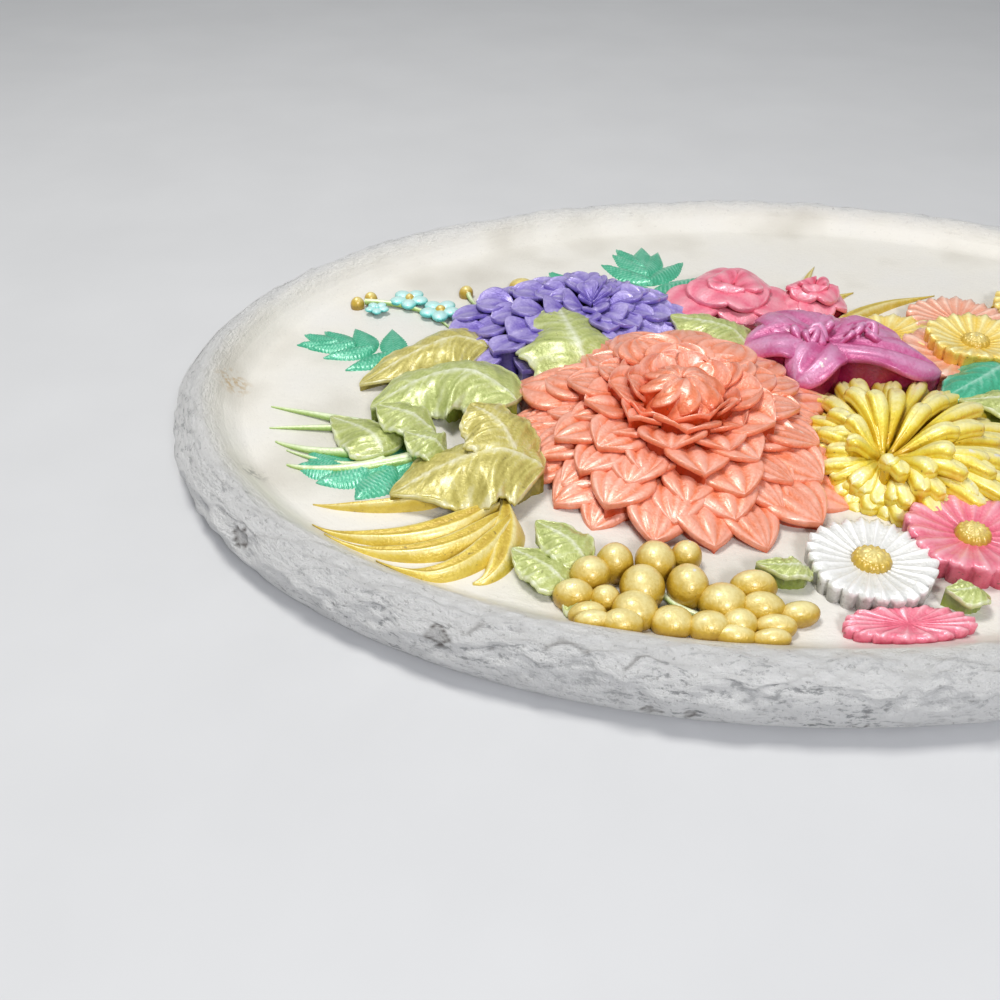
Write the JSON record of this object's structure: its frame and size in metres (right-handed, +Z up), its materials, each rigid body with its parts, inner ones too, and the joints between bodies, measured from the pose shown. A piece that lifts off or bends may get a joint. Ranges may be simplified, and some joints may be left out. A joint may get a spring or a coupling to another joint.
{
  "type": "decorative wall plaque",
  "caption": "Oval cast plaster wall plaque with a thick rounded rim and a painted high relief flower bouquet in its shallow dished field.",
  "frame": {"origin": "centre of the flat back", "axes": "+Z up as it hangs, -Y out of the carved face into the room, +Y out of the flat back into the wall"},
  "size_m": [0.3, 0.037, 0.4],
  "materials": {
    "plaster_white": "off-white paint with a faint pearl sheen on poured plaster, rough and grey streaked on the rim",
    "paint_coral": "pearl paint, satin",
    "paint_yellow": "pearl paint, satin",
    "paint_violet": "pearl paint, satin",
    "paint_pink": "pearl paint, satin",
    "paint_magenta": "pearl paint, satin",
    "paint_leaf_green": "pearl paint, satin",
    "paint_teal": "pearl paint, satin",
    "paint_gold": "pearl paint, satin",
    "paint_white": "pearl paint, satin"
  },
  "bodies": {
    "root": {"plaque": "plaster_white"}
  },
  "joints": []
}
